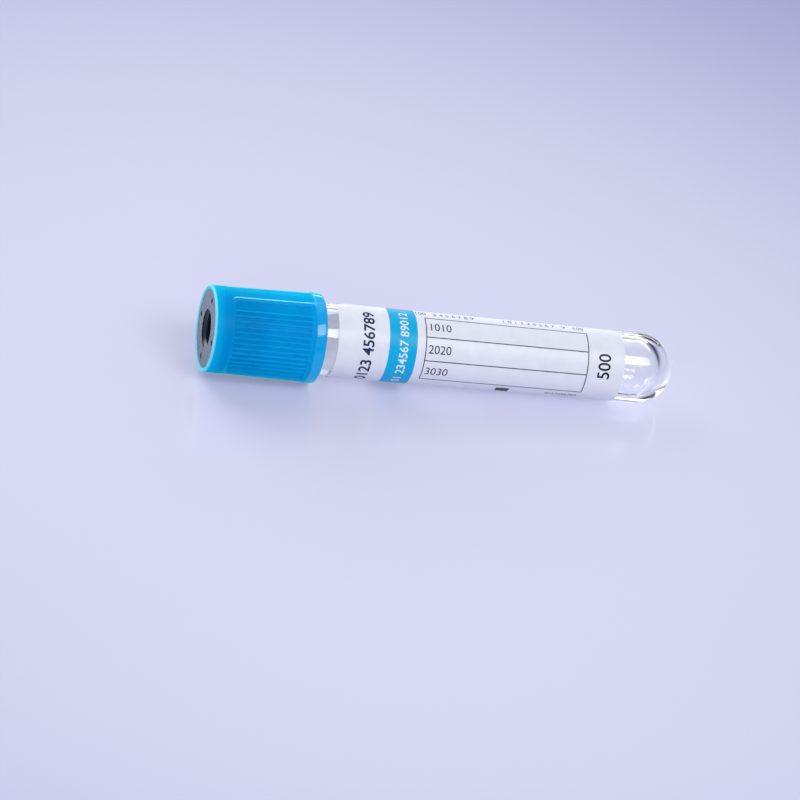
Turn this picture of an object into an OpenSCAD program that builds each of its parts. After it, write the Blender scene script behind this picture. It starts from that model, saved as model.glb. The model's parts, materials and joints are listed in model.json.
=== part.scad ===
// Evacuated blood collection tube, lying on its side.
// Every piece is drawn upright, on the tube's own axis, with the tip of the round end at z = 0,
// and placed() then lays it down so that the round end and the cap's ring both touch the ground.

/* [Tube] */
// Length from the tip of the round end to the rim
tube_len = 75; // [65:1:100]
// Outside diameter at the rim
tube_od = 12.7; // [11:0.1:16]
// How much the radius shrinks from the rim to the round end, the mould's draft
tube_taper = 0.25; // [0:0.05:0.4]
// Wall at the rim
tube_wall = 0.95; // [0.7:0.05:1.3]
// How much thicker the wall is at the round end
wall_gain = 0.1; // [0:0.05:0.3]
// Thickness at the tip of the round end
tip_t = 1.8; // [1:0.1:2.5]

/* [Stopper] */
// How far the head's radius passes the tube's
head_overhang = 0.4; // [0.3:0.05:1]
// Height of the head above the rim
head_h = 8.6; // [7:0.1:11]
// Length of the plug inside the tube
plug_len = 8; // [6:0.5:9.5]
// Radial clearance of the plug in the bore
plug_fit = 0.05; // [0.02:0.01:0.1]
// Gap between the head's shoulder and the rim
seat_gap = 0.02; // [0:0.01:0.1]
// Lead-in chamfer round the plug
plug_chamfer = 0.6; // [0.2:0.1:1]
// Diameter of the needle well
well_d = 6.1; // [4:0.1:8]
// Depth of the needle well from the stopper's face
well_depth = 8; // [5:0.5:9.5]
// Width of the well's funnel edge
funnel_w = 0.4; // [0.2:0.1:1]
// Depth of the funnel edge
funnel_h = 0.5; // [0.2:0.1:1]
// Diameter of the hollow under the plug
hollow_d = 6.4; // [4:0.1:7]
// Depth of the hollow under the plug
hollow_depth = 4; // [2:0.5:5]
// Number of mould vent holes in the face
vent_count = 4; // [0:1:6]
// Diameter of a vent hole
vent_d = 0.8; // [0.4:0.1:1.2]
// Depth of a vent hole
vent_depth = 1.6; // [0.5:0.1:3]
// Distance of the vent holes from the outer edge of the head
vent_inset = 1.45; // [1:0.05:2]
// Turn of the first vent hole
vent_turn = 5; // [0:1:89]

/* [Cap] */
// Length of the shell
cap_len = 19.65; // [17:0.05:24]
// Radial clearance round the stopper's head
head_fit = 0.03; // [0.01:0.01:0.1]
// Thickness of the lip over the stopper's edge
lip_t = 0.4; // [0.2:0.05:0.8]
// How far the lip covers the stopper's edge
lip_cover = 0.1; // [0.05:0.05:0.3]
// Wall of the smooth band round the stopper's head
band_wall = 0.72; // [0.6:0.01:1.2]
// Length of the smooth band
band_len = 3.3; // [2:0.1:5]
// Step down from the band to the body
body_step = 0.06; // [0:0.01:0.2]
// How much the body's radius grows down to the ring
body_flare = 0.11; // [0:0.01:0.3]
// How far the end ring stands out past the band
ring_rise = 0.3; // [0.2:0.05:0.6]
// Length of the end ring
ring_len = 2.55; // [1.5:0.05:4]
// Edge radius at the stopper's end
rim_r = 0.4; // [0.2:0.05:0.6]
// Edge radius of the end ring
ring_edge_r = 0.5; // [0.2:0.05:0.8]
// Gap between the skirt and the tube
skirt_gap = 0.2; // [0.15:0.05:0.5]
// Gap between the bead under the head and the tube
bead_gap = 0.12; // [0.1:0.01:0.2]
// Height of the bead under the head
bead_h = 0.8; // [0.4:0.1:1.5]
// Lead-in chamfer inside the skirt
skirt_chamfer = 0.45; // [0.2:0.05:0.7]

/* [Grip] */
// Number of ribbed fields round the cap
field_count = 2; // [1:1:2]
// Turn of the first field's middle
field_turn = -70.6; // [-180:0.1:180]
// Number of ribs in a field
rib_count = 12; // [4:1:16]
// Angle from rib to rib
rib_pitch = 7.28; // [6:0.01:9]
// Diameter of a rib's round back
rib_d = 0.56; // [0.3:0.02:0.7]
// How far the ribs stand out of the body
rib_rise = 0.07; // [0:0.01:0.2]
// Smooth length between the ribs and the band
rib_gap = 0.2; // [0.1:0.05:1]
// Depth of a field's floor below the body
field_recess = 0.15; // [0.05:0.01:0.25]
// Width of the bar at each side of a field
bar_w = 1; // [0.6:0.1:1.6]
// How far the bars stand out of the body
bar_rise = 0.16; // [0.05:0.01:0.2]
// Angle from the last rib to the bar
bar_pitch = 19.1; // [12:0.1:25]

/* [Label] */
// Bare length between the tip of the round end and the label
label_tip_gap = 10.4; // [7:0.1:30]
// Bare length between the label and the cap
label_cap_gap = 2.3; // [0.5:0.1:10]
// Thickness of the label
label_t = 0.08; // [0.05:0.01:0.1]
// Angle that the label covers
label_wrap = 320; // [200:5:350]
// Turn of the label's upper long edge
label_turn = 23; // [-180:1:180]
// Radius of the label's corners
label_corner = 2; // [0.5:0.1:4]

/* [Additive] */
// Volume of the liquid additive in millilitres
additive_ml = 0.2; // [0.1:0.05:0.5]

/* [Hidden] */
$fn = 96;
over = 1;

// Tube
rim_r_out = tube_od / 2;
dome_r = rim_r_out - tube_taper;
bore_r = rim_r_out - tube_wall;
dome_bore_r = dome_r - tube_wall - wall_gain;

// Stopper
shoulder_z = tube_len + seat_gap;
head_r = rim_r_out + head_overhang;
face_z = shoulder_z + head_h;
plug_r = bore_r - plug_fit;
plug_z = shoulder_z - plug_len;
vent_r = head_r - vent_inset;

// Cap
cap_top = face_z + lip_t;
cap_end = cap_top - cap_len;
mouth_z = cap_end;
band_z = cap_top - band_len;
ring_z = cap_end + ring_len;
pocket_r = head_r + head_fit;
band_r = pocket_r + band_wall;
ring_r = band_r + ring_rise;
body_r = band_r - body_step;
body_end_r = body_r + body_flare;
skirt_r = rim_r_out + skirt_gap;
bead_r = rim_r_out + bead_gap;
lip_r = head_r - lip_cover;
body_len = band_z - ring_z;
body_lean = atan(body_flare / body_len);
root_z = ring_z - ring_len / 2;
field_angle = (rib_count - 1) * rib_pitch + 2 * bar_pitch;
rib_top = band_z - rib_gap;

// Lying on the ground: the tilt at which the round end and the ring's edge touch it together
ring_touch_z = cap_end + ring_edge_r;
reach = ring_touch_z - dome_r;
ring_core_r = ring_r - ring_edge_r;
tilt = asin((ring_edge_r - dome_r) / norm([reach, ring_core_r])) + atan2(ring_core_r, reach);
tip_height = dome_r - dome_r * sin(tilt);
far_x = (cap_top - rim_r) * cos(tilt) + (band_r - rim_r) * sin(tilt) + rim_r;
near_x = dome_r * (1 - cos(tilt));
tip_x = (far_x - near_x) / 2;

// Additive: the liquid is a shallow wedge on the sloping floor of the bore
dome_bore_z = tip_t + dome_bore_r;
bore_lean = atan((bore_r - dome_bore_r) / (mouth_z - dome_bore_z));
additive_depth = pow(additive_ml * 1000 * tan(tilt - bore_lean) * 15 / (8 * sqrt(2 * dome_bore_r)), 0.4);
bore_floor_z = tip_height + dome_bore_z * sin(tilt) - dome_bore_r;

// Label: the corner arcs cross the edges by corner_bite instead of only touching them
label_end = cap_end - label_cap_gap;
corner_bite = 0.05;

module placed() {
    translate([tip_x, 0, tip_height]) rotate([0, tilt - 90, 0]) children();
}

// Radius of the tube's outside at height z of its drafted part
function tube_r(z) = dome_r + tube_taper * (z - dome_r) / (mouth_z - dome_r);

// Radius of the cap's body at height z
function body_at(z) = body_r + body_flare * (band_z - z) / body_len;

// A solid ring of round section
module torus(ring_radius, section_r) {
    rotate_extrude() translate([ring_radius, 0]) circle(section_r);
}

// Round-ended solid of revolution: a ball, a drafted length and a straight mouth
module test_tube_form(ball_r, ball_z, mouth_r, top_z) {
    translate([0, 0, ball_z]) sphere(ball_r);
    translate([0, 0, ball_z]) cylinder(h = mouth_z - ball_z, r1 = ball_r, r2 = mouth_r);
    translate([0, 0, mouth_z]) cylinder(h = top_z - mouth_z, r = mouth_r);
}

module bore_form(top_z) {
    test_tube_form(dome_bore_r, dome_bore_z, bore_r, top_z);
}

module tube() {
    lip_section = tube_wall / 2;
    color([0.85, 0.9, 0.95, 0.4]) placed() {
        difference() {
            test_tube_form(dome_r, dome_r, rim_r_out, tube_len - lip_section);
            bore_form(tube_len + over);
        }
        translate([0, 0, tube_len - lip_section]) torus(bore_r + lip_section, lip_section);
    }
}

module stopper() {
    color([0.16, 0.17, 0.22]) placed() difference() {
        union() {
            translate([0, 0, shoulder_z]) cylinder(h = head_h, r = head_r);
            translate([0, 0, plug_z + plug_chamfer])
                cylinder(h = plug_len - plug_chamfer + over, r = plug_r);
            translate([0, 0, plug_z])
                cylinder(h = plug_chamfer, r1 = plug_r - plug_chamfer, r2 = plug_r);
        }
        needle_well();
        plug_hollow();
        vent_holes();
    }
}

module needle_well() {
    translate([0, 0, face_z - well_depth]) cylinder(h = well_depth + over, d = well_d);
    translate([0, 0, face_z - funnel_h])
        cylinder(h = funnel_h, r1 = well_d / 2, r2 = well_d / 2 + funnel_w);
}

module plug_hollow() {
    dome_h = hollow_d / 4;
    translate([0, 0, plug_z - over]) cylinder(h = hollow_depth - dome_h + over, d = hollow_d);
    translate([0, 0, plug_z + hollow_depth - dome_h])
        cylinder(h = dome_h, d1 = hollow_d, d2 = hollow_d - 2 * dome_h);
}

module vent_holes() {
    for (i = [0 : 1 : vent_count - 1])
        rotate([0, 0, vent_turn + i * 360 / vent_count])
            translate([vent_r, 0, face_z - vent_depth]) cylinder(h = vent_depth + over, d = vent_d);
}

module cap() {
    color([0.05, 0.6, 0.87]) placed() difference() {
        union() {
            cap_body();
            cap_band();
            cap_ring();
            each_field() grip_ribs();
        }
        cap_inside();
    }
}

module each_field() {
    for (i = [0 : field_count - 1]) rotate([0, 0, field_turn + i * 360 / field_count]) children();
}

module cap_body() {
    difference() {
        body_cone(0);
        each_field() field_floor();
    }
    intersection() {
        body_cone(bar_rise);
        each_field() grip_bars();
    }
}

// The body's cone, thickened by grow and rooted in the ring
module body_cone(grow) {
    translate([0, 0, root_z])
        cylinder(h = band_z - root_z, r1 = body_at(root_z) + grow, r2 = body_r + grow);
}

// The space cut away over a ribbed field, from bar to bar
module field_floor() {
    rotate([0, 0, -field_angle / 2]) rotate_extrude(angle = field_angle) polygon([
        [body_at(root_z) - field_recess, root_z],
        [body_at(root_z) + over, root_z],
        [body_at(rib_top) + over, rib_top],
        [body_at(rib_top) - field_recess, rib_top]
    ]);
}

// Round-backed ribs, with a ball at the upper end, that lean with the body
module grip_ribs() {
    rib_r = rib_d / 2;
    for (i = [0 : rib_count - 1])
        rotate([0, 0, (i - (rib_count - 1) / 2) * rib_pitch])
            translate([body_at(rib_top) + rib_rise - rib_r, 0, rib_top - rib_r])
                rotate([0, 180 - body_lean, 0]) {
                    sphere(rib_r, $fn = 24);
                    cylinder(h = rib_top - rib_r - root_z, r = rib_r, $fn = 24);
                }
}

// Flat bars with a round upper end, one at each side of a field
module grip_bars() {
    bar_top = rib_top - bar_w / 2;
    for (side = [-1, 1])
        rotate([0, 0, side * field_angle / 2]) translate([bore_r, 0, 0]) {
            translate([0, -bar_w / 2, root_z]) cube([head_r, bar_w, bar_top - root_z]);
            translate([0, 0, bar_top]) rotate([0, 90, 0]) cylinder(h = head_r, d = bar_w);
        }
}

module cap_band() {
    translate([0, 0, band_z]) cylinder(h = band_len - rim_r, r = band_r);
    translate([0, 0, band_z]) cylinder(h = band_len, r = band_r - rim_r);
    translate([0, 0, cap_top - rim_r]) torus(band_r - rim_r, rim_r);
}

module cap_ring() {
    step = ring_r - body_end_r;
    translate([0, 0, cap_end]) cylinder(h = ring_len, r = ring_core_r);
    translate([0, 0, ring_touch_z]) cylinder(h = ring_len - ring_edge_r - step, r = ring_r);
    translate([0, 0, ring_z - step]) cylinder(h = step, r1 = ring_r, r2 = body_end_r);
    translate([0, 0, ring_touch_z]) torus(ring_core_r, ring_edge_r);
}

// Skirt bore, bead, pocket for the stopper's head and opening in the lip
module cap_inside() {
    translate([0, 0, cap_end - over]) cylinder(h = shoulder_z - bead_h - cap_end + over, r = skirt_r);
    translate([0, 0, cap_end]) cylinder(h = skirt_chamfer, r1 = skirt_r + skirt_chamfer, r2 = skirt_r);
    translate([0, 0, cap_end]) cylinder(h = cap_len, r = bead_r);
    translate([0, 0, shoulder_z]) cylinder(h = head_h, r = pocket_r);
    translate([0, 0, cap_end]) cylinder(h = cap_len + over, r = lip_r);
}

module label() {
    color([0.96, 0.96, 0.98]) placed() rotate([0, 0, label_turn - label_wrap]) difference() {
        rotate_extrude(angle = label_wrap) polygon([
            [tube_r(label_tip_gap), label_tip_gap],
            [tube_r(label_tip_gap) + label_t, label_tip_gap],
            [tube_r(label_end) + label_t, label_end],
            [tube_r(label_end), label_end]
        ]);
        label_corner_cut(0, 1, label_tip_gap, 1);
        label_corner_cut(0, 1, label_end, -1);
        label_corner_cut(label_wrap, -1, label_tip_gap, 1);
        label_corner_cut(label_wrap, -1, label_end, -1);
    }
}

// What a rounded corner takes off: turn and z give the corner, inward and up point into the label
module label_corner_cut(turn, inward, z, up) {
    centre = label_corner - corner_bite;
    side = centre + over;
    rotate([0, 0, turn]) translate([bore_r, inward * centre, z + up * centre])
        rotate([0, 90, 0]) difference() {
            translate([up > 0 ? 0 : -side, inward > 0 ? -side : 0, 0])
                cube([side, side, 2 * tube_wall]);
            translate([0, 0, -over]) cylinder(h = 2 * tube_wall + 2 * over, r = label_corner);
        }
}

module additive() {
    color([0.8, 0.88, 0.95, 0.5]) intersection() {
        placed() bore_form(plug_z);
        translate([-tube_len, -tube_od, bore_floor_z - tube_od])
            cube([2 * tube_len, 2 * tube_od, tube_od + additive_depth]);
    }
}

tube();
stopper();
cap();
label();
additive();
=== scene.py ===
"""Looks of the blood collection tube: fine meshes for its moulded pieces, the printed label, materials,
a pale glossy table, studio lights and the camera.

Meshes are written in the tube's own frame, in millimetres: z runs along the axis from the tip of the round
end to the cap, and x points up, square to it. The table, lamps and camera are in metres, and so are
the lengths inside material nodes."""

import json
import math

import bmesh
import bpy
from mathutils import Matrix, Vector


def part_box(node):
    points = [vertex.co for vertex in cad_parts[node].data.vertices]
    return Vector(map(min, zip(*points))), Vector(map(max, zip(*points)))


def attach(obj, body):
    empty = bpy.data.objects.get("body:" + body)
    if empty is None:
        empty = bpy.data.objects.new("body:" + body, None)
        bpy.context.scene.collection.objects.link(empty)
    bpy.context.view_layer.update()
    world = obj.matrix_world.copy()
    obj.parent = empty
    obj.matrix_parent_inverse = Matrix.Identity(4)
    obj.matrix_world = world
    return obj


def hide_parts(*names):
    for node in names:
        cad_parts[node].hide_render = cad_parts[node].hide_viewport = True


MM = 0.001

# Sizes that part.scad has too, in own-frame millimetres
RIM_R = 6.35
DOME_R = 6.10
BORE_R = 5.40
DOME_BORE_R = 5.05
TIP_T = 1.80
TUBE_LEN = 75.0
HEAD_R = 6.75
HEAD_Z = 75.02
FACE_Z = 83.62
CAP_TOP = 84.02
CAP_END = 64.37
LABEL_START = 10.40
LABEL_END = 62.07
LABEL_T = 0.08

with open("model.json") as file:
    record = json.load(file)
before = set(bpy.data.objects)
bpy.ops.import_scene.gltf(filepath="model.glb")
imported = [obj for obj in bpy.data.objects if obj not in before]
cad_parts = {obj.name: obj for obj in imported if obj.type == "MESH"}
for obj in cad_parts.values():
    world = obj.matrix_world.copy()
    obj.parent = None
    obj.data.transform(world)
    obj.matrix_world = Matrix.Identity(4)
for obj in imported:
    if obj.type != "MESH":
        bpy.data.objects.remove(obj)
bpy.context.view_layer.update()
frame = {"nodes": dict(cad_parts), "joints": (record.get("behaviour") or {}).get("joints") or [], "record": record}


# ---------------------------------------------------------------- the tube's own frame


def own_frame():
    """Matrix from the tube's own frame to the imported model's: z along the axis, x up and y to +Y."""
    axis = Vector(frame["joints"][0]["axis"]).normalized()
    side = Vector((0, 1, 0))
    up = side.cross(axis)
    on_axis = Vector(frame["record"]["mounts"][0]["pos_m"])
    tube = frame["nodes"]["tube"]
    tip_at = min(axis.dot(vertex.co) for vertex in tube.data.vertices)
    tip = on_axis + axis * (tip_at - axis.dot(on_axis))
    turn = Matrix((up, side, axis)).transposed().to_4x4()
    return Matrix.Translation(tip) @ turn


OWN = own_frame()


def tube_r(z):
    """Outside radius of the tube's drafted part, in millimetres."""
    share = (z - DOME_R) / (CAP_END - DOME_R)
    return DOME_R + (RIM_R - DOME_R) * min(max(share, 0), 1)


def bore_r(z):
    """Radius of the tube's bore, with its round end, in millimetres."""
    centre = TIP_T + DOME_BORE_R
    if z < centre:
        return math.sqrt(max(DOME_BORE_R**2 - (centre - z) ** 2, 0))
    share = (z - centre) / (CAP_END - centre)
    return DOME_BORE_R + (BORE_R - DOME_BORE_R) * min(share, 1)


# ---------------------------------------------------------------- mesh helpers


def smoothstep(low, high, x):
    t = min(max((x - low) / (high - low), 0), 1)
    return t * t * (3 - 2 * t)


def steps(low, high, count):
    """count + 1 even values from low to high."""
    return [low + (high - low) * i / count for i in range(count + 1)]


def rounded_path(corners, arc_steps=6):
    """A closed outline through (r, z, fillet) corners, with an arc at each corner that has a fillet."""
    path = []
    for i, (r, z, fillet) in enumerate(corners):
        here = Vector((r, z))
        if fillet == 0:
            path.append((r, z))
            continue
        before = (Vector(corners[i - 1][:2]) - here).normalized()
        after = (Vector(corners[(i + 1) % len(corners)][:2]) - here).normalized()
        half = before.angle(after) / 2
        centre = here + (before + after).normalized() * fillet / math.sin(half)
        start = here + before * fillet / math.tan(half) - centre
        sweep = start.angle_signed(here + after * fillet / math.tan(half) - centre)
        for k in range(arc_steps + 1):
            turn = Matrix.Rotation(-sweep * k / arc_steps, 2)
            path.append(tuple(centre + turn @ start))
    return path


def new_piece(name, points, faces, material, body, sharp_angle=40):
    """A smooth-shaded mesh piece, given in own-frame millimetres, that rides on a body."""
    mesh = bpy.data.meshes.new(name)
    mesh.from_pydata([[MM * c for c in p] for p in points], [], faces)
    mesh.validate()
    piece = bpy.data.objects.new(name, mesh)
    bpy.context.scene.collection.objects.link(piece)
    piece.matrix_world = OWN
    mesh.materials.append(material)
    mesh.shade_smooth()
    mesh.set_sharp_from_angle(angle=math.radians(sharp_angle))
    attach(piece, body)
    return piece


def polar(r, z, turn):
    """The own-frame point at a radius and a height, at a turn round the axis."""
    return (r * math.cos(turn), r * math.sin(turn), z)


def revolve(path, turns, relief):
    """Points and faces of a closed outline turned right round. relief(turn, z, r) gives a point's radius."""
    points = [polar(relief(turn, z, r), z, turn) for turn in turns for r, z in path]
    faces = []
    count = len(path)
    for i in range(len(turns)):
        j = (i + 1) % len(turns)
        for k in range(count):
            m = (k + 1) % count
            faces.append((i * count + k, j * count + k, j * count + m, i * count + m))
    return points, faces


def even_turns(count):
    return [2 * math.pi * i / count for i in range(count)]


# ---------------------------------------------------------------- material helpers


def new_material(name, **sockets):
    """A Principled material with these socket values. Returns the material and its shader node."""
    material = bpy.data.materials.new(name)
    material.use_nodes = True
    shader = material.node_tree.nodes["Principled BSDF"]
    for socket, value in sockets.items():
        shader.inputs[socket.replace("_", " ")].default_value = value
    return material, shader


def add(material, kind, links=None, **settings):
    """A node with these settings. links maps an input's name or number to a socket or a value."""
    node = material.node_tree.nodes.new("ShaderNode" + kind)
    for key, value in settings.items():
        setattr(node, key, value)
    for key, source in (links or {}).items():
        if isinstance(source, bpy.types.NodeSocket):
            material.node_tree.links.new(source, node.inputs[key])
        else:
            node.inputs[key].default_value = source
    return node


def join(material, source, target):
    material.node_tree.links.new(source, target)


def calc(material, operation, *values):
    """The result of one Math node. Each value is a socket or a number."""
    return add(material, "Math", dict(enumerate(values)), operation=operation).outputs[0]


def noise(material, scale, detail=3, roughness=0.5):
    """Noise over the piece's own coordinates, in features per metre."""
    place = add(material, "TexCoord")
    links = {"Vector": place.outputs["Object"], "Scale": scale, "Detail": detail, "Roughness": roughness}
    return add(material, "TexNoise", links).outputs["Fac"]


def spread(material, source, low, high):
    """A noise, which lies mostly between 0.3 and 0.7, carried over to the range from low to high."""
    links = {"Value": source, "From Min": 0.3, "From Max": 0.7, "To Min": low, "To Max": high}
    return add(material, "MapRange", links).outputs["Result"]


def mix_colour(material, factor, first, second):
    node = add(material, "Mix", {0: factor, 6: first, 7: second}, data_type="RGBA")
    return node.outputs[2]


def mix_value(material, factor, first, second):
    return add(material, "Mix", {0: factor, 2: first, 3: second}, data_type="FLOAT").outputs[0]


def bump(material, shader, height, distance, strength):
    links = {"Height": height, "Distance": distance, "Strength": strength}
    join(material, add(material, "Bump", links).outputs["Normal"], shader.inputs["Normal"])


def ramp(material, source, low, high):
    """0 at low and 1 at high, eased at both ends."""
    links = {"Value": source, "From Min": low, "From Max": high}
    return add(material, "MapRange", links, interpolation_type="SMOOTHSTEP").outputs["Result"]


def ramp_mm(material, source, low, high):
    """A ramp of a length, between two values in millimetres."""
    return ramp(material, source, MM * low, MM * high)


def length_of(material, x, y):
    flat = add(material, "CombineXYZ", {0: x, 1: y}).outputs[0]
    return add(material, "VectorMath", {0: flat}, operation="LENGTH").outputs["Value"]


def own_place(material):
    """The x, y and z of a point in the tube's own frame, in metres."""
    place = add(material, "TexCoord")
    return tuple(add(material, "SeparateXYZ", {0: place.outputs["Object"]}).outputs)


def from_nearest(material, x, y, first, spacing):
    """The signed turn of (x, y) from the nearest place in a ring of places with an even spacing."""
    offset = calc(material, "SUBTRACT", calc(material, "ARCTAN2", y, x), first)
    return calc(material, "WRAP", offset, spacing / 2, -spacing / 2)


# ---------------------------------------------------------------- materials

# The cap's colours, among them painted light and shade, and the own-frame heights in millimetres between which one
# changes to the next
# Painted shade: the cap's colour is darker over the dark stopper than over the tube
CAP_SHADED_OVER_RUBBER = (0.0, 0.235, 0.600, 1)
CAP_OVER_TUBE = (0.0, 0.300, 0.720, 1)
# Painted glow: a paler colour for the rib crests and towards the rim, also used for random mottle
CAP_GLOW_AND_MOTTLE = (0.0, 0.430, 0.780, 1)
CAP_RING = (0.0, 0.365, 0.770, 1)
# Painted glow: a near-white cyan for the lip round the face
CAP_LIP_GLOW = (0.26, 0.740, 0.950, 1)
# Painted shade: a near-black blue mixed into the grooves of the grip
CAP_GROOVE_SHADE = (0.0, 0.02, 0.10, 1)
CAP_SHEEN = (0.0, 0.90, 1.0, 1)
# Heights of the painted shade over the stopper, of the painted glow towards the rim and on the lip, and of the
# ring's colour
RUBBER_SHADE_Z = (72.0, 78.0)
RIM_GLOW_Z = (81.3, 84.1)
LIP_GLOW_Z = (83.55, 83.85)
OFF_RING_Z = (66.2, 66.5)
# How much painted highlight goes on the rib crests, and how much painted shade in the grooves
CREST_HIGHLIGHT_SHARE = 0.18
GROOVE_SHADE_SHARE = 0.12
SATIN_COAT = 0.05
POLISHED_COAT = 0.8
POLISHED_ROUGHNESS = 0.08

# The polished flank of a bar, in millimetres: where it fades in and out, from the bar's middle line, and how
# far outward of that line it starts
FLANK_START_MM = (0.13, 0.25)
FLANK_END_MM = (0.68, 0.56)
FLANK_OUTER_MM = (0.02, 0.12)

VENT_TURN = math.radians(5)
VENT_PLACE_R = 5.3
VENT_R = 0.4
# Painted shade round each vent: how far past the vent's radius, in millimetres, its black fades out and is full
VENT_SHADE_MM = (0.26, 0.20)

# The face's colours, lighter than the clean rubber: partly talc dust, partly painted sheen
RUBBER_DARK = (0.050, 0.078, 0.128, 1)
RUBBER_DUST_AND_SHEEN = (0.072, 0.106, 0.168, 1)
RUBBER_CLEAN = (0.035, 0.050, 0.090, 1)
# Painted shade: near black in the vents, round them and down the well
RUBBER_DEEP_SHADE = (0.001, 0.001, 0.003, 1)
ON_FACE_Z = (FACE_Z - 0.05, FACE_Z + 0.16)
NEAR_FACE_Z = (FACE_Z - 1.3, FACE_Z + 0.1)


def along_bar_edges(material):
    """1 on the outer flanks and the round ends of the four smooth bars, 0 elsewhere."""
    x, y, height = own_place(material)
    offset = calc(material, "ABSOLUTE", from_nearest(material, x, y, FIELD_TURNS[0], math.pi))
    across = calc(material, "MULTIPLY", calc(material, "SUBTRACT", offset, BAR_TURN), MM * BODY_R)
    above = calc(material, "SUBTRACT", height, MM * (BAND_Z - BAR_HALF_MM))
    beyond = calc(material, "MAXIMUM", above, 0.0)
    reach = length_of(material, across, beyond)
    started = ramp_mm(material, reach, *FLANK_START_MM)
    on_flank = calc(material, "MULTIPLY", started, ramp_mm(material, reach, *FLANK_END_MM))
    outer = ramp_mm(material, calc(material, "MAXIMUM", across, beyond), *FLANK_OUTER_MM)
    return calc(material, "MULTIPLY", on_flank, outer)


def on_crests(material):
    """0 in the grooves of the grip and 1 on its ribs and bars: where a painted highlight goes on the crests and
    painted shade in the grooves.
    """
    x, y, height = own_place(material)
    slope = BODY_FLARE / (BAND_Z - RING_Z)
    straight = calc(material, "MULTIPLY_ADD", height, slope, length_of(material, x, y))
    at_body = BODY_R + slope * BAND_Z
    return ramp_mm(material, straight, at_body - RECESS_MM, at_body + RIB_RISE_MM)


def cap_material():
    """Light blue polypropylene: satin on the grip, polished on the ring and bar edges. Its colour holds painted
    light: painted shade over the stopper and in the grip's grooves, and a painted glow that makes it paler on the
    rib crests, towards the rim and on the lip.
    """
    material, shader = new_material(
        "cap_blue", IOR=1.49, Specular_IOR_Level=0.0, Coat_IOR=1.5, Subsurface_Weight=0.35,
        Subsurface_Radius=(0.2, 0.7, 1.0), Subsurface_Scale=0.0012, Sheen_Weight=1.0, Sheen_Roughness=0.45,
        Sheen_Tint=CAP_SHEEN)
    height = own_place(material)[2]
    # Painted shade: darker over the stopper
    plain = mix_colour(material, ramp_mm(material, height, *RUBBER_SHADE_Z), CAP_OVER_TUBE, CAP_SHADED_OVER_RUBBER)
    # Painted highlight on the rib crests and painted shade in the grooves
    lit_crest = mix_colour(material, CREST_HIGHLIGHT_SHARE, plain, CAP_GLOW_AND_MOTTLE)
    shaded_groove = mix_colour(material, GROOVE_SHADE_SHARE, plain, CAP_GROOVE_SHADE)
    ribbed = mix_colour(material, on_crests(material), shaded_groove, lit_crest)
    on_grip = ramp_mm(material, height, BAND_Z + 0.25, BAND_Z - 0.1)
    body = mix_colour(material, on_grip, plain, ribbed)
    # Painted glow towards the rim, together with random mottle
    rim = ramp_mm(material, height, *RIM_GLOW_Z)
    mottle = spread(material, noise(material, 260), 0, 0.14)
    glowing_and_mottled = mix_colour(material, calc(material, "MAXIMUM", rim, mottle), body, CAP_GLOW_AND_MOTTLE)
    on_ring = calc(material, "SUBTRACT", 1.0, ramp_mm(material, height, *OFF_RING_Z))
    ringed = mix_colour(material, on_ring, glowing_and_mottled, CAP_RING)
    # Painted glow on the lip
    lip = ramp_mm(material, height, *LIP_GLOW_Z)
    join(material, mix_colour(material, lip, ringed, CAP_LIP_GLOW), shader.inputs["Base Color"])
    polish = calc(material, "MAXIMUM", on_ring, along_bar_edges(material))
    satin = spread(material, noise(material, 900), 0.30, 0.38)
    join(material, satin, shader.inputs["Roughness"])
    gloss = mix_value(material, polish, satin, POLISHED_ROUGHNESS)
    join(material, gloss, shader.inputs["Coat Roughness"])
    coat = mix_value(material, polish, SATIN_COAT, POLISHED_COAT)
    join(material, coat, shader.inputs["Coat Weight"])
    bump(material, shader, noise(material, 6000, 4), 0.000012, 0.35)
    return material


def in_vent_shade(material):
    """1 in the four mould vents and on a ring round each on the face, where painted shade goes, 0 elsewhere."""
    x, y, _ = own_place(material)
    offset = from_nearest(material, x, y, VENT_TURN, math.pi / 2)
    across = calc(material, "MULTIPLY", offset, MM * VENT_PLACE_R)
    outward = calc(material, "SUBTRACT", length_of(material, x, y), MM * VENT_PLACE_R)
    return ramp_mm(material, length_of(material, across, outward), *(VENT_R + edge for edge in VENT_SHADE_MM))


def rubber_material():
    """Dark butyl rubber: faintly dusted with talc on its face, which is also lightened as painted sheen, and
    darker, as painted shade, down the well, in the vents and round their mouths.
    """
    material, shader = new_material("stopper_rubber", IOR=1.45)
    dust = spread(material, noise(material, 1400, 5, 0.65), 0, 1)
    height = own_place(material)[2]
    vent_shade = in_vent_shade(material)
    on_face = ramp_mm(material, height, *ON_FACE_Z)
    # On the face, talc dust and painted sheen, clear of the vents
    dusted_and_sheened = calc(material, "MULTIPLY", on_face, calc(material, "SUBTRACT", 1.0, vent_shade))
    surface = mix_colour(material, dust, RUBBER_DARK, RUBBER_DUST_AND_SHEEN)
    # Painted shade down the well, from the clean rubber near the face to near black
    near_face = ramp_mm(material, height, *NEAR_FACE_Z)
    inside = mix_colour(material, near_face, RUBBER_DEEP_SHADE, RUBBER_CLEAN)
    shaded_walls = mix_colour(material, vent_shade, inside, RUBBER_DEEP_SHADE)
    join(material, mix_colour(material, dusted_and_sheened, shaded_walls, surface), shader.inputs["Base Color"])
    join(material, spread(material, noise(material, 800), 0.24, 0.34), shader.inputs["Roughness"])
    bump(material, shader, noise(material, 5000, 5, 0.6), 0.00001, 0.4)
    return material


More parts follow.
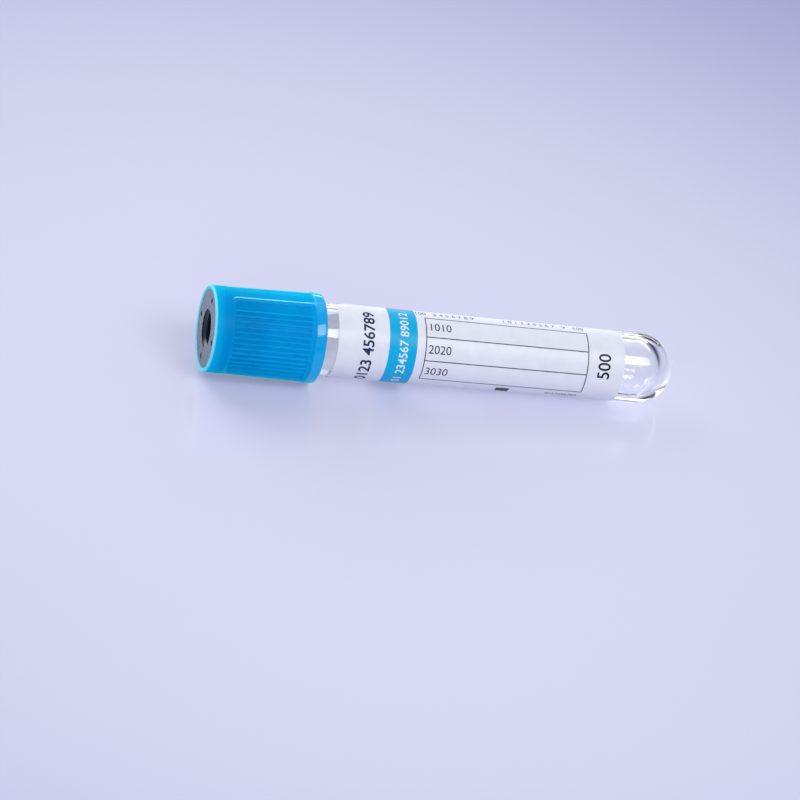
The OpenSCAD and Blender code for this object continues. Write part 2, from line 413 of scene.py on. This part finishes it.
def let_lamps_through(material, shader, tint):
    """Shadow rays pass a clear piece, because light that it would really gather isn't traced."""
    path = add(material, "LightPath")
    clear = add(material, "BsdfTransparent", {"Color": tint})
    links = {0: path.outputs["Is Shadow Ray"], 1: shader.outputs[0], 2: clear.outputs[0]}
    both = add(material, "MixShader", links)
    join(material, both.outputs[0], material.node_tree.nodes["Material Output"].inputs["Surface"])


def clear_material():
    """Clear polyester with faint flow waves left by the mould."""
    tint = (0.985, 0.988, 1.0, 1)
    material, shader = new_material("tube_clear", IOR=1.52, Transmission_Weight=1.0, Base_Color=tint)
    join(material, spread(material, noise(material, 300), 0.0, 0.03), shader.inputs["Roughness"])
    bump(material, shader, noise(material, 220, 2), 0.00003, 0.25)
    let_lamps_through(material, shader, (0.91, 0.915, 0.94, 1))
    return material


def liquid_material():
    """Watery citrate solution."""
    material, shader = new_material("additive_liquid", IOR=1.34, Transmission_Weight=1.0, Roughness=0.0,
                                    Base_Color=(0.98, 0.99, 1.0, 1))
    bump(material, shader, noise(material, 90, 1), 0.00002, 0.1)
    let_lamps_through(material, shader, (0.96, 0.97, 0.99, 1))
    return material


def label_material():
    """White coated film: a soft sheen over very fine paper grain."""
    material, shader = new_material("label_white", IOR=1.48)
    tone = spread(material, noise(material, 500, 4), 0, 1)
    white = (0.77, 0.785, 0.87, 1)
    cool = (0.735, 0.75, 0.84, 1)
    join(material, mix_colour(material, tone, white, cool), shader.inputs["Base Color"])
    join(material, spread(material, noise(material, 1500), 0.36, 0.44), shader.inputs["Roughness"])
    bump(material, shader, noise(material, 9000, 3), 0.000006, 0.3)
    let_lamps_through(material, shader, (0.97, 0.975, 0.985, 1))
    return material


def ink_material(name, full, less):
    """Printing ink that covers a little unevenly: its colour where it is full, and where there is less."""
    material, shader = new_material(name, IOR=1.48, Specular_IOR_Level=0.2)
    tone = spread(material, noise(material, 2600, 4), 0, 0.5)
    join(material, mix_colour(material, tone, full, less), shader.inputs["Base Color"])
    join(material, spread(material, noise(material, 1500), 0.34, 0.42), shader.inputs["Roughness"])
    return material


# ---------------------------------------------------------------- cap

# Sizes that part.scad has too, in own-frame millimetres. BAR_TURN goes from a ribbed field's middle to a bar.
FIELD_TURNS = (math.radians(-70.6), math.radians(109.4))
RIB_COUNT = 12
RIB_PITCH = math.radians(7.28)
BAR_TURN = math.radians(59.14)
BAR_HALF_MM = 0.5
BAND_Z = 80.72
BAND_R = 7.50
BODY_R = 7.44
RING_R = 7.80
SKIRT_R = 6.55
BEAD_R = 6.47
BEAD_LEN = 0.8
LIP_R = 6.65
HEAD_FIT = 0.03

# Sizes that are a little finer here than in part.scad: a shorter ring, more flare and lower, softer relief
RING_Z = 66.32
BODY_FLARE = 0.22
FIELD_END_Z = 67.02
RECESS_MM = 0.12
RIB_R_MM = 0.25
RIB_RISE_MM = 0.06
BAR_RISE_MM = 0.12
BAR_FLANK_MM = 0.32
BAR_SPREAD_MM = 0.06

# Widths over which a field's recess fades out: at its bars, at the band and towards the ring
FADE_AT_BARS_MM = 0.25
FADE_AT_BAND_MM = 0.30
FADE_AT_RING_MM = 0.5


def body_r(z):
    """Radius of the cap's plain body, which widens from the band down to the ring."""
    return BODY_R + BODY_FLARE * (BAND_Z - z) / (BAND_Z - RING_Z)


def turn_from_field(turn):
    """Signed angle from the nearer ribbed field's middle."""
    offsets = [math.remainder(turn - field, 2 * math.pi) for field in FIELD_TURNS]
    return min(offsets, key=abs)


def grip_relief(turn, z):
    """Height of the moulded grip over the cap's plain body, in millimetres."""
    offset = turn_from_field(turn)
    radius = body_r(z)
    past_end = max(z - BAND_Z + RIB_R_MM, FIELD_END_Z - z - 0.2, 0)
    past_bar_end = max(z - BAND_Z + BAR_HALF_MM, 0)
    inside = smoothstep(0, FADE_AT_BARS_MM, (BAR_TURN - abs(offset)) * radius)
    within = smoothstep(0, FADE_AT_BAND_MM, BAND_Z - z) * smoothstep(0, FADE_AT_RING_MM, z - FIELD_END_Z)
    height = -RECESS_MM * inside * within
    last_rib = (RIB_COUNT - 1) / 2
    nearest = round(offset / RIB_PITCH - 0.5) + 0.5
    nearest = min(max(nearest, -last_rib), last_rib)
    across = abs(offset - nearest * RIB_PITCH) * radius
    rib = smoothstep(0, 1, 1 - math.hypot(across, past_end) / RIB_R_MM)
    height += (RIB_RISE_MM - height) * rib
    bar_reach = math.hypot((abs(offset) - BAR_TURN) * radius, past_bar_end)
    bar = min(max((BAR_HALF_MM + BAR_SPREAD_MM - bar_reach) / BAR_FLANK_MM, 0), 1)
    return height + (BAR_RISE_MM - height) * bar


def cap_turns():
    """Turns round the cap, close together over the ribs and bars and wider apart between the fields."""
    turns = []
    reach = BAR_TURN + math.radians(5)
    for field in FIELD_TURNS:
        turns += steps(field - reach, field + reach, 300)
        turns += steps(field + reach, field + math.pi - reach, 26)[1:-1]
    return turns


def cap_piece():
    """The shell with its ribs, bars, ring and rolled rim, as one surface turned round the axis."""
    grip = steps(RING_Z + 0.22, FIELD_END_Z + 0.6, 14) + steps(FIELD_END_Z + 0.9, BAND_Z - 1.0, 10)
    grip += steps(BAND_Z - 0.9, BAND_Z + 0.05, 22)
    pocket_r = HEAD_R + HEAD_FIT
    ring = [(SKIRT_R, CAP_END, 0.3), (RING_R, CAP_END, 0.5), (RING_R, RING_Z - 0.06, 0.12),
            (body_r(RING_Z) + 0.01, RING_Z + 0.10, 0.08)]
    body = [(body_r(z), z, 0) for z in grip]
    band = [(BAND_R, BAND_Z + 0.22, 0.06), (BAND_R, CAP_TOP, 0.33)]
    lip = [(LIP_R + 0.42, CAP_TOP, 0.15), (LIP_R, FACE_Z + 0.12, 0.05), (LIP_R, FACE_Z, 0)]
    pocket = [(pocket_r, FACE_Z, 0), (pocket_r, HEAD_Z, 0), (BEAD_R, HEAD_Z, 0),
              (BEAD_R, HEAD_Z - BEAD_LEN, 0.1), (SKIRT_R, HEAD_Z - BEAD_LEN - 0.1, 0)]
    path = rounded_path(ring + body + band + lip + pocket)

    def relief(turn, z, r):
        on_grip = r > pocket_r and RING_Z + 0.2 <= z <= BAND_Z + 0.06
        return r + grip_relief(turn, z) if on_grip else r

    points, faces = revolve(path, cap_turns(), relief)
    piece = new_piece("cap_shell", points, faces, cap_material(), "closure")
    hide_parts("cap")


# ---------------------------------------------------------------- tube


def tube_piece():
    """The clear tube: one wall from the outer tip over the rim and down the bore to the inner tip."""
    half_wall = (RIM_R - BORE_R) / 2
    rim_z = TUBE_LEN - half_wall
    outside = [(DOME_R * math.sin(a), DOME_R * (1 - math.cos(a))) for a in steps(0, math.pi / 2, 48)]
    outside += [(tube_r(z), z) for z in steps(DOME_R, CAP_END, 24)[1:]]
    rim = [(BORE_R + half_wall + half_wall * math.cos(a), rim_z + half_wall * math.sin(a))
           for a in steps(0, math.pi, 16)]
    centre = TIP_T + DOME_BORE_R
    inside = [(bore_r(z), z) for z in reversed(steps(centre, CAP_END, 24))]
    inside += [(DOME_BORE_R * math.cos(a), centre - DOME_BORE_R * math.sin(a))
               for a in steps(0, math.pi / 2, 40)[1:]]
    path = outside + rim + inside
    turns = even_turns(160)
    points, faces = [], []
    wall = path[1:-1]
    for turn in turns:
        points += [polar(r, z, turn) for r, z in wall]
    count = len(wall)
    outer_tip = len(points)
    points += [(0, 0, path[0][1]), (0, 0, path[-1][1])]
    for i in range(len(turns)):
        a = i * count
        b = ((i + 1) % len(turns)) * count
        faces += [(a + k, b + k, b + k + 1, a + k + 1) for k in range(count - 1)]
        faces += [(outer_tip, b, a), (outer_tip + 1, a + count - 1, b + count - 1)]
    piece = new_piece("tube_wall", points, faces, clear_material(), "tube", 60)
    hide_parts("tube")


# ---------------------------------------------------------------- label and print

LABEL_TOP = math.radians(23)
LABEL_WRAP = math.radians(320)
CORNER_MM = 2.0

# The radius of the print, about halfway along the label
PRINT_R = tube_r(36) + LABEL_T

# How far the label's back lies inside the tube's skin, and each kind of print above the label, in millimetres
LABEL_SUNK_MM = 0.012
PATCH_LIFT_MM = 0.006
NUMERAL_LIFT_MM = 0.012

RULE_MM = 0.17
RULE_TURNS = (-3.5, -40.0, -77.4, -113.5)
RULE_SPAN_Z = (17.0, 46.6)
NUMERAL_GRID_MM = 0.25

# Each ink's colour where it covers fully, and where it covers less
INK_BLACK = ((0.004, 0.005, 0.016, 1), (0.03, 0.03, 0.05, 1))
INK_NAVY = ((0.012, 0.018, 0.085, 1), (0.03, 0.035, 0.12, 1))
INK_BLUE = ((0.0, 0.40, 0.72, 1), (0.0, 0.45, 0.77, 1))
INK_PALE = ((0.75, 0.80, 0.90, 1), (0.70, 0.76, 0.88, 1))


def label_span(turn):
    """Start and end of the label at a turn, which its rounded corners shorten."""
    edge = min(LABEL_TOP - turn, turn - LABEL_TOP + LABEL_WRAP) * PRINT_R
    short = CORNER_MM - edge
    cut = CORNER_MM - math.sqrt(CORNER_MM**2 - short**2) if short > 0 else 0
    return LABEL_START + cut, LABEL_END - cut


def label_turns():
    """Turns across the label, close together at its rounded corners."""
    corner = CORNER_MM / PRINT_R
    low = LABEL_TOP - LABEL_WRAP
    edge = [corner * (1 - math.cos(a)) for a in steps(0, math.pi / 2, 14)]
    return [low + e for e in edge] + steps(low + corner, LABEL_TOP - corner, 120)[1:-1] + [
        LABEL_TOP - e for e in reversed(edge)]


def label_piece(material):
    """The label as a closed thin sheet. Its back lies a little inside the tube's skin, as glued film does."""
    turns = label_turns()
    along = 40
    points, faces = [], []
    for lift in (LABEL_T, -LABEL_SUNK_MM):
        for turn in turns:
            low, high = label_span(turn)
            points += [polar(tube_r(z) + lift, z, turn) for z in steps(low, high, along)]
    row = along + 1
    sheet = len(turns) * row
    for i in range(len(turns) - 1):
        for k in range(along):
            a = i * row + k
            faces.append((a, a + row, a + row + 1, a + 1))
            faces.append((sheet + a, sheet + a + 1, sheet + a + row + 1, sheet + a + row))
        for a, b in ((i * row, (i + 1) * row), ((i + 1) * row + along, i * row + along)):
            faces.append((a, sheet + a, sheet + b, b))
    last = (len(turns) - 1) * row
    for k in range(along):
        faces.append((k, k + 1, sheet + k + 1, sheet + k))
        faces.append((last + k + 1, last + k, sheet + last + k, sheet + last + k + 1))
    piece = new_piece("label_sheet", points, faces, material, "tube")
    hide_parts("label")


def patch(points, faces, z0, z1, turn0, turn1):
    """Adds a printed rectangle that follows the label. Turns are in degrees."""
    lift = LABEL_T + PATCH_LIFT_MM
    rows = max(1, round(abs(turn1 - turn0) / 2))
    start = len(points)
    for turn in steps(math.radians(turn0), math.radians(turn1), rows):
        points += [polar(tube_r(z) + lift, z, turn) for z in (z0, z1)]
    faces += [(start + 2 * k, start + 2 * k + 2, start + 2 * k + 3, start + 2 * k + 1) for k in range(rows)]


def print_piece(name, rectangles, writing, material):
    """A piece of one ink: rectangles, and numerals that writing lists as keyword values."""
    points, faces = [], []
    for rectangle in rectangles:
        patch(points, faces, *rectangle)
    for line in writing:
        numerals(points, faces, **line)
    piece = new_piece(name, points, faces, material, "tube")


def degrees_of(length):
    """The turn, in degrees, that a length takes round the label."""
    return math.degrees(length / PRINT_R)


def frame_lines():
    """Three ruled rows."""
    low, high = RULE_SPAN_Z
    half = degrees_of(RULE_MM) / 2
    lines = [(low, high, turn - half, turn + half) for turn in RULE_TURNS]
    ends = (RULE_TURNS[-1] - half, RULE_TURNS[0] + half)
    return lines + [(z, z + RULE_MM, *ends) for z in (low, high - RULE_MM)]


def flat_numerals(text, height, weight):
    """Plain numerals as a flat mesh, height millimetres tall, x along the line: points and faces. It is cut
    into squares small enough to follow the label."""
    curve = bpy.data.curves.new("numerals", "FONT")
    curve.body = text
    curve.offset = weight
    writing = bpy.data.objects.new("numerals", curve)
    mesh = bpy.data.meshes.new_from_object(writing)
    cut = bmesh.new()
    cut.from_mesh(mesh)
    tall = max(vertex.co.y for vertex in cut.verts)
    bmesh.ops.scale(cut, vec=(height / tall, height / tall, 1), verts=cut.verts)
    length = max(vertex.co.x for vertex in cut.verts)
    for reach, normal in ((length, Vector((1, 0, 0))), (height, Vector((0, 1, 0)))):
        for place in steps(0, reach, math.ceil(reach / NUMERAL_GRID_MM))[1:-1]:
            everything = cut.verts[:] + cut.edges[:] + cut.faces[:]
            bmesh.ops.bisect_plane(cut, geom=everything, plane_co=normal * place, plane_no=normal)
    cut.verts.index_update()
    points = [(vertex.co.x, vertex.co.y) for vertex in cut.verts]
    faces = [[vertex.index for vertex in face.verts] for face in cut.faces]
    cut.free()
    bpy.data.objects.remove(writing)
    bpy.data.curves.remove(curve)
    bpy.data.meshes.remove(mesh)
    return points, faces


def numerals(points, faces, text, height, z, turn, weight=0.0, round_tube=False):
    """Adds numerals to a print, from (z, turn): along the tube to the round end, or up round the tube."""
    flat, flat_faces = flat_numerals(text, height, weight)
    first = len(points)
    lift = LABEL_T + NUMERAL_LIFT_MM
    for x, y in flat:
        along, across = (-y, x) if round_tube else (x, y)
        points.append(polar(tube_r(z - along) + lift, z - along, math.radians(turn + degrees_of(across))))
    faces += [tuple(first + i for i in face) for face in flat_faces]


def printed_label():
    """The label and its print: a blue band, ruled rows, a dark block and numerals. Turns are in degrees."""
    white = label_material()
    label_piece(white)
    black = ink_material("ink_black", *INK_BLACK)
    navy = ink_material("ink_navy", *INK_NAVY)
    blue = ink_material("ink_blue", *INK_BLUE)
    low = math.degrees(LABEL_TOP - LABEL_WRAP)
    high = math.degrees(LABEL_TOP)
    print_piece("print_band", [(48.1, 53.05, low + 0.3, high - 0.3)], [], blue)
    rows = [dict(text=text, height=1.45, z=46.1, turn=turn)
            for text, turn in (("1010", -28.5), ("2020", -65.5), ("3030", -102.0))]
    rows += [dict(text="100   3 4 5 6 7 8 9", height=1.0, z=48.2, turn=5.0)]
    rows += [dict(text="1 0 1 2 3 4 5 6 7   9   100", height=1.0, z=32.3, turn=6.0)]
    rows += [dict(text="0123456789", height=0.8, z=23.3, turn=-130.0)]
    rows += [dict(text="500", height=2.2, z=13.0, turn=-83.0, weight=0.01, round_tube=True)]
    print_piece("print_rules", frame_lines() + [(29.9, 32.3, -135.4, -121.5)], rows, black)
    title = dict(text="0123 456789", height=1.95, z=55.8, turn=-133, weight=0.02, round_tube=True)
    print_piece("print_title", [], [title], navy)
    pale = dict(text="01 234567 89012", height=1.5, z=49.7, turn=-131, weight=0.012, round_tube=True)
    print_piece("print_pale", [], [pale], ink_material("ink_pale", *INK_PALE))


# ---------------------------------------------------------------- liquid


def liquid_piece():
    """The additive: a level wedge in the bore, with a meniscus up the wall."""
    _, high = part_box("additive")
    level = high[2] / MM
    tip = OWN.translation / MM
    up = OWN.to_3x3().transposed() @ Vector((0, 0, 1))
    meniscus = 0.35
    meniscus_reach = 0.7
    into_wall = 0.02
    short_of_plug = 66.8

    def surface_x(z):
        return (level - tip.z - z * up.z) / up.x

    def half_width(z):
        x = surface_x(z) + meniscus
        return math.sqrt(max(bore_r(z) ** 2 - x * x, 0)) if x < 0 else bore_r(z)

    stations = [z for z in steps(TIP_T + 0.05, short_of_plug, 400) if half_width(z) > 0.02]
    near, far = min(stations), max(stations)
    along = [near + (far - near) * (1 - math.cos(a)) / 2 for a in steps(0.03, math.pi - 0.03, 90)]
    across = [math.sin(a) for a in steps(-math.pi / 2, math.pi / 2, 28)]
    points, faces = [], []
    for side in (0, 1):
        for z in along:
            wide = half_width(z) + into_wall
            wall = bore_r(z) + into_wall
            for share in across:
                y = wide * share
                bottom = -math.sqrt(max(wall**2 - y * y, 0))
                top = surface_x(z) + meniscus * math.exp(-(wide - abs(y)) / meniscus_reach)
                points.append((max(top, bottom) if side else bottom, y, z))
    row = len(across)
    sheet = len(along) * row
    for i in range(len(along) - 1):
        for k in range(row - 1):
            a = i * row + k
            faces.append((a, a + row, a + row + 1, a + 1))
            faces.append((sheet + a, sheet + a + 1, sheet + a + row + 1, sheet + a + row))
        for k in (0, row - 1):
            a = i * row + k
            corners = (a, sheet + a, sheet + a + row, a + row)
            faces.append(corners if k == 0 else tuple(reversed(corners)))
    for i in (0, len(along) - 1):
        for k in range(row - 1):
            a = i * row + k
            corners = (a, a + 1, sheet + a + 1, sheet + a)
            faces.append(corners if i == 0 else tuple(reversed(corners)))
    piece = new_piece("additive_pool", points, faces, liquid_material(), "tube", 70)
    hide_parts("additive")


# ---------------------------------------------------------------- stopper

# The swollen face, in own-frame millimetres
FACE_SWELL = 0.22
FACE_EDGE = 0.14
WELL_MOUTH_R = 3.30


def stopper_piece():
    """The CAD stopper with its face swollen a little inside the cap's lip, and drawn in round the well."""
    cut = bmesh.new()
    cut.from_mesh(frame["nodes"]["stopper"].data)
    bmesh.ops.transform(cut, matrix=Matrix.Scale(1 / MM, 4) @ OWN.inverted(), verts=cut.verts)
    face = [f for f in cut.faces if all(abs(vertex.co.z - FACE_Z) < 0.01 for vertex in f.verts)]
    bmesh.ops.inset_region(cut, faces=face, thickness=FACE_EDGE, use_even_offset=True)
    for vertex in {vertex for f in face for vertex in f.verts}:
        vertex.co.z += FACE_SWELL
        from_axis = math.hypot(vertex.co.x, vertex.co.y)
        if from_axis < WELL_MOUTH_R + 1:
            vertex.co.x *= WELL_MOUTH_R / from_axis
            vertex.co.y *= WELL_MOUTH_R / from_axis
    cut.verts.index_update()
    points = [tuple(vertex.co) for vertex in cut.verts]
    faces = [[vertex.index for vertex in f.verts] for f in cut.faces]
    cut.free()
    piece = new_piece("stopper_rubber", points, faces, rubber_material(), "closure", 30)
    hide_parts("stopper")


# ---------------------------------------------------------------- table, lights and camera

# Painted pool of light: the table's colour and its glow darken from near to far round one point; the glow is
# painted light
TABLE_NEAR = (0.61, 0.62, 0.80, 1)
TABLE_FAR = (0.23, 0.25, 0.49, 1)
GLOW_NEAR = (0.84, 0.84, 1.0, 1)
GLOW_FAR = (0.37, 0.39, 0.70, 1)
GLOW_SHARE = 0.25
# Painted light under the clear tube, which stands in for the light that the plastic gathers
GATHERED = (0.90, 0.91, 0.98, 1)
GATHERED_SHARE = 0.6
BACKDROP = (0.50, 0.52, 0.74, 1)
SKY_LOW = (0.045, 0.05, 0.15, 1)
SKY_HIGH = (0.86, 0.88, 1.0, 1)
SKY_RISE = (0.04, 0.30)
SKY_STRENGTH = 0.38

# Places on the table, in metres: the brightest point of its painted pool of light, where it starts and stops
# growing darker round that, and the strip of painted light under the clear tube, given by its half width and its
# end short of the tube's round end, both fading out
BRIGHTEST = (-0.02, -0.005, 0)
DARKENS = (0.05, 0.29)
STRIP_SIDE = (0.022, 0.008)
STRIP_END = (0.034, 0.026)

# The camera: its turns in degrees, and its place from the tip of the tube in metres
AZIMUTH = 17.585
ELEVATION = 31.906
ROLL = 13.084
CAMERA_FROM_TIP = Vector((-0.226091, -0.5645, 0.358981))


def table():
    """A wide satin table top. Its colour darkens away from one point, as a painted pool of light. It glows a
    little, as painted light, for the camera and for gloss, and more behind clear plastic, which gathers light on
    it that isn't traced."""
    bpy.ops.mesh.primitive_plane_add(size=6, location=(0, 0, 0))
    top = bpy.context.object
    top.name = "table_top"
    material, shader = new_material("table_gloss", IOR=1.45, Roughness=0.14)
    place = add(material, "TexCoord")
    from_brightest = {0: place.outputs["Object"], 1: BRIGHTEST}
    distance = add(material, "VectorMath", from_brightest, operation="DISTANCE").outputs["Value"]
    # Painted pool of light: darker away from the brightest point
    far = ramp(material, distance, *DARKENS)
    join(material, mix_colour(material, far, TABLE_NEAR, TABLE_FAR), shader.inputs["Base Color"])
    path = add(material, "LightPath")
    seen = calc(material, "MAXIMUM", path.outputs["Is Camera Ray"], path.outputs["Is Glossy Ray"])
    direct = calc(material, "MULTIPLY", seen, GLOW_SHARE)
    # Painted light in a strip under the clear tube, for rays through it
    split = add(material, "SeparateXYZ", {0: place.outputs["Object"]})
    beside = calc(material, "ABSOLUTE", split.outputs["Y"])
    along = ramp(material, split.outputs["X"], *STRIP_END)
    under_tube = calc(material, "MULTIPLY", ramp(material, beside, *STRIP_SIDE), along)
    lens = calc(material, "MULTIPLY", path.outputs["Is Transmission Ray"], under_tube)
    share = calc(material, "MAXIMUM", direct, calc(material, "MULTIPLY", lens, GATHERED_SHARE))
    seen_colour = mix_colour(material, far, GLOW_NEAR, GLOW_FAR)
    glow_colour = mix_colour(material, lens, seen_colour, GATHERED)
    glow = add(material, "Emission", {"Color": glow_colour, "Strength": 1.0})
    both = add(material, "MixShader", {0: share, 1: shader.outputs[0], 2: glow.outputs[0]})
    join(material, both.outputs[0], material.node_tree.nodes["Material Output"].inputs["Surface"])
    top.data.materials.append(material)


def softbox(name, direction, distance, width, height, power):
    """A soft white lamp that faces the part from a direction."""
    lamp = bpy.data.lights.new(name, "AREA")
    lamp.shape = "RECTANGLE"
    lamp.size = width
    lamp.size_y = height
    lamp.energy = power
    lamp_object = bpy.data.objects.new(name, lamp)
    bpy.context.scene.collection.objects.link(lamp_object)
    place = Vector(direction).normalized() * distance
    lamp_object.location = place
    lamp_object.rotation_euler = (-place).to_track_quat("-Z", "Y").to_euler()


def lights():
    """A squarish lamp like a window, a wide key and fill, and two from behind that edge the clear plastic."""
    softbox("window", (0.257, -0.583, 0.769), 1.0, 0.46, 0.44, 4.2)
    softbox("key", (0.0, 0.55, 0.83), 1.6, 2.0, 1.0, 4.5)
    softbox("fill", (-0.40, -0.90, 0.20), 1.5, 1.2, 1.0, 9.0)
    softbox("back_left", (-0.50, 0.75, 0.43), 1.1, 0.8, 0.8, 7.5)
    softbox("edge_strip", (0.20, 0.96, 0.17), 1.2, 1.4, 0.16, 3.4)
    studio_world()


def studio_world():
    """A pale room, bright overhead and dark towards the horizon, which gives clear plastic its contours. The
    camera sees a plain pale backdrop instead."""
    world = bpy.data.worlds.new("studio")
    bpy.context.scene.world = world
    world.use_nodes = True
    background = world.node_tree.nodes["Background"]
    background.inputs["Strength"].default_value = SKY_STRENGTH
    place = add(world, "TexCoord")
    height = add(world, "SeparateXYZ", {0: place.outputs["Generated"]}).outputs["Z"]
    sky = mix_colour(world, ramp(world, height, *SKY_RISE), SKY_LOW, SKY_HIGH)
    join(world, sky, background.inputs["Color"])
    backdrop = add(world, "Background", {"Color": BACKDROP, "Strength": 1.0})
    path = add(world, "LightPath")
    links = {0: path.outputs["Is Camera Ray"], 1: background.outputs[0], 2: backdrop.outputs[0]}
    both = add(world, "MixShader", links)
    join(world, both.outputs[0], world.node_tree.nodes["World Output"].inputs["Surface"])


def camera():
    """A long lens, turned a little about its axis, so that the tube slopes down to the right."""
    azimuth, elevation, roll = (math.radians(turn) for turn in (AZIMUTH, ELEVATION, ROLL))
    forward = Vector((math.sin(azimuth) * math.cos(elevation), math.cos(azimuth) * math.cos(elevation),
                      -math.sin(elevation)))
    level = forward.to_track_quat("-Z", "Y").to_matrix()
    data = bpy.data.cameras.new("camera")
    data.lens = 180
    data.sensor_width = 36
    data.clip_start = 0.01
    seen = bpy.data.objects.new("camera", data)
    bpy.context.scene.collection.objects.link(seen)
    turn = level @ Matrix.Rotation(roll, 3, "Z")
    place = Matrix.Translation(OWN.translation + CAMERA_FROM_TIP)
    seen.matrix_world = place @ turn.to_4x4()
    bpy.context.scene.camera = seen


def main():
    cap_piece()
    tube_piece()
    stopper_piece()
    printed_label()
    liquid_piece()
    table()
    lights()
    camera()
    bpy.context.scene.view_settings.view_transform = "Standard"
    bpy.context.view_layer.update()


main()
